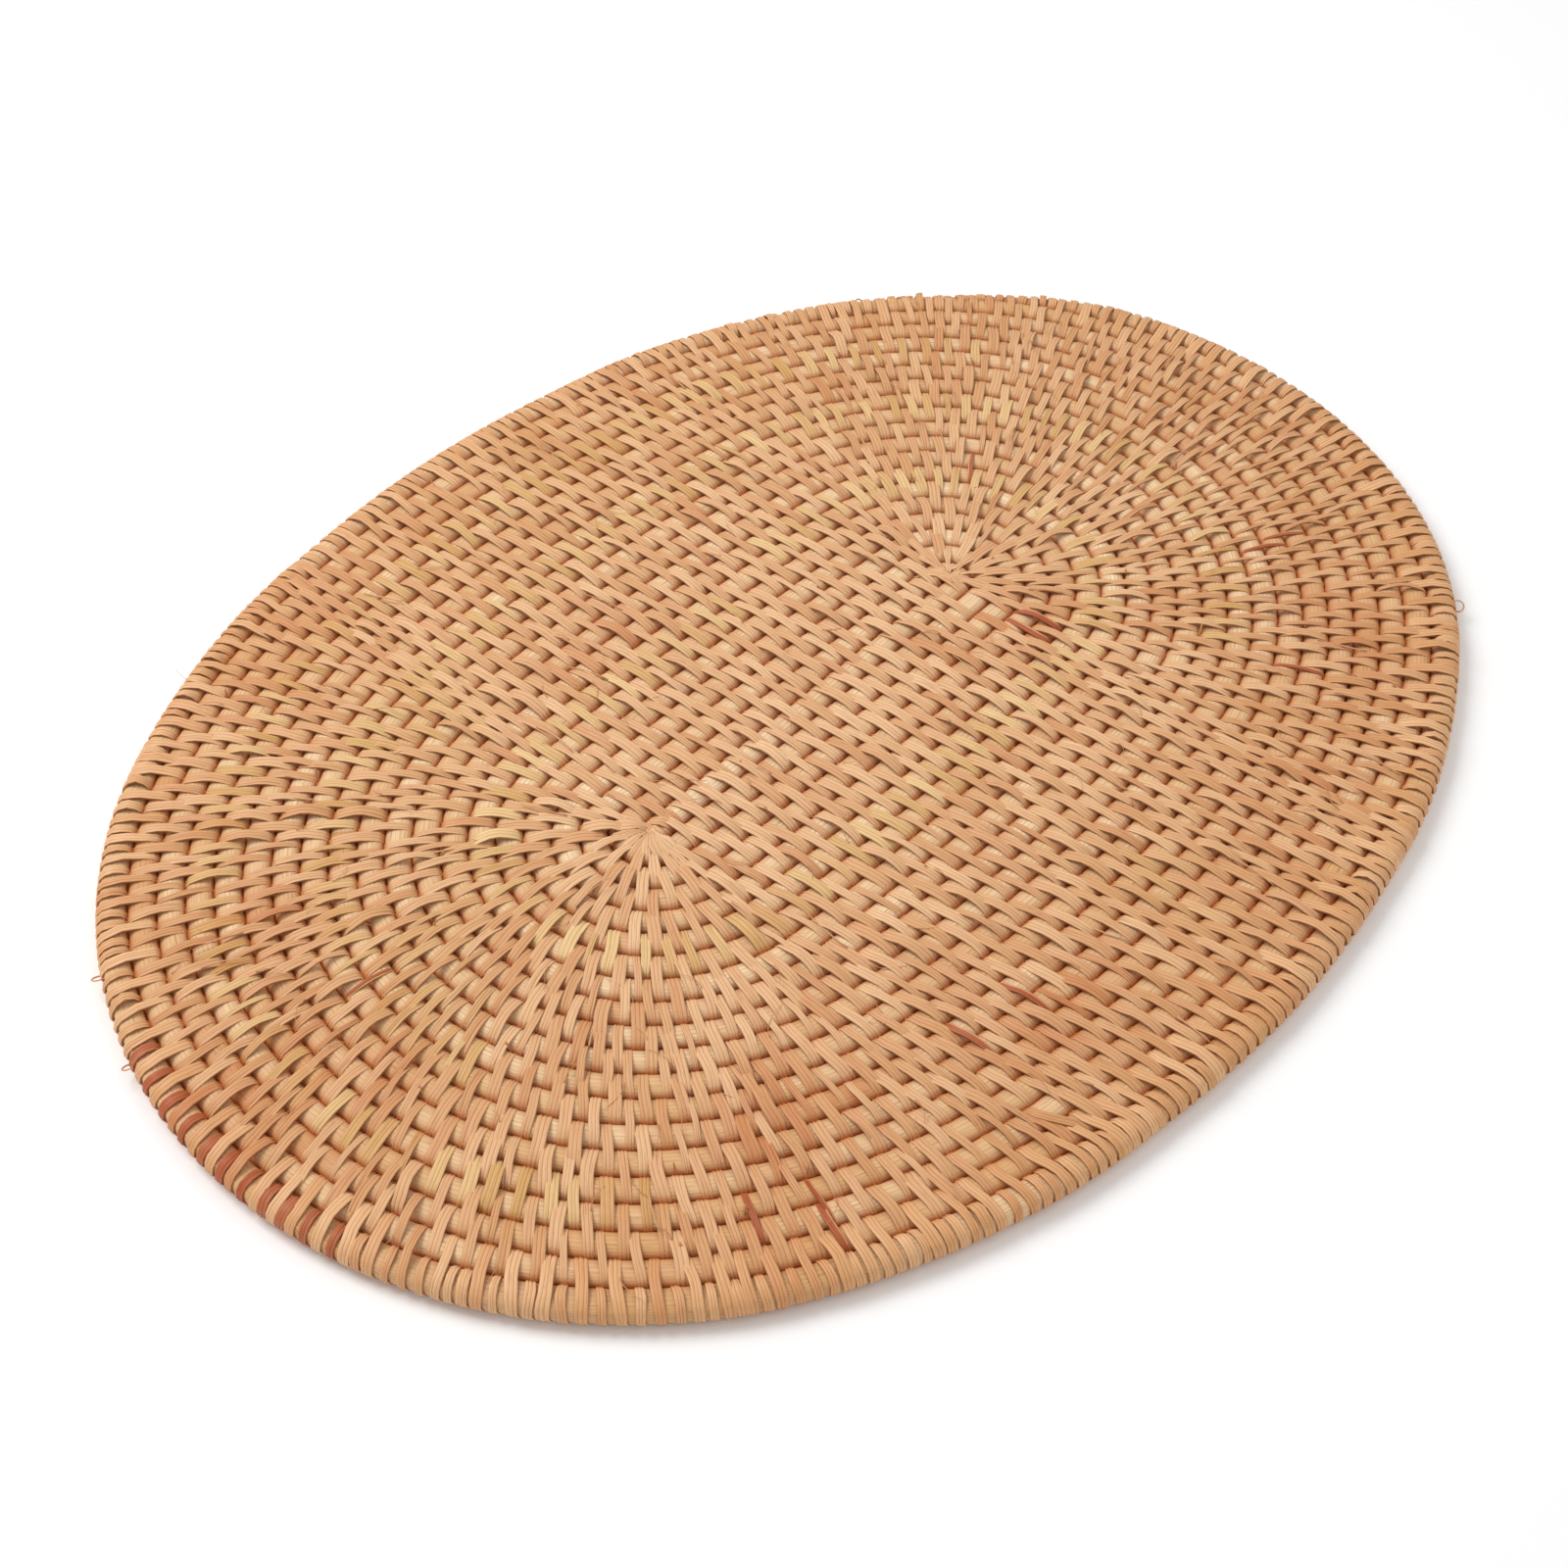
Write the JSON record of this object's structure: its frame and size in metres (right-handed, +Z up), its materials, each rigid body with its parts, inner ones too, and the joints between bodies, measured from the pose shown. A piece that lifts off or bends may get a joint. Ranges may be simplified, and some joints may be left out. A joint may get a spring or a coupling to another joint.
{
  "type": "coiled rattan seat pad",
  "caption": "Flat oval seat pad of round cane wound in a coil and bound row to row with flat split-rattan strips; reversible, lies on a chair seat or table.",
  "frame": {"origin": "centre of the flat underside, which lies at z = 0", "axes": "+X along the oval's length, +Y across it, +Z up out of the seat face"},
  "size_m": [0.4, 0.3, 0.0072],
  "materials": {
    "core_cane": "dry round cane, fine lengthwise grain",
    "peeled_strip": "satin split rattan, fibrous",
    "green_strip": "satin split rattan, yellow-green tint",
    "rim_strip": "satin split rattan, slightly darker"
  },
  "bodies": {
    "root": {"core_cane_1": "core_cane", "core_cane_2": "core_cane", "core_cane_3": "core_cane", "core_cane_4": "core_cane", "core_cane_5": "core_cane", "binding_strip_01": "peeled_strip", "binding_strip_02": "peeled_strip", "binding_strip_03": "peeled_strip", "binding_strip_04": "peeled_strip", "binding_strip_05": "green_strip", "binding_strip_06": "peeled_strip", "binding_strip_07": "peeled_strip", "binding_strip_08": "peeled_strip", "binding_strip_09": "peeled_strip", "binding_strip_10": "peeled_strip", "binding_strip_11": "peeled_strip", "binding_strip_12": "green_strip", "binding_strip_13": "peeled_strip", "binding_strip_14": "peeled_strip", "binding_strip_15": "peeled_strip", "binding_strip_16": "peeled_strip", "binding_strip_17": "peeled_strip", "binding_strip_18": "peeled_strip", "binding_strip_19": "green_strip", "binding_strip_20": "peeled_strip", "binding_strip_21": "peeled_strip", "binding_strip_22": "peeled_strip", "binding_strip_23": "peeled_strip", "binding_strip_24": "peeled_strip", "rim_strip_1": "rim_strip", "rim_strip_2": "rim_strip", "rim_strip_3": "rim_strip", "rim_strip_4": "rim_strip"}
  },
  "joints": []
}
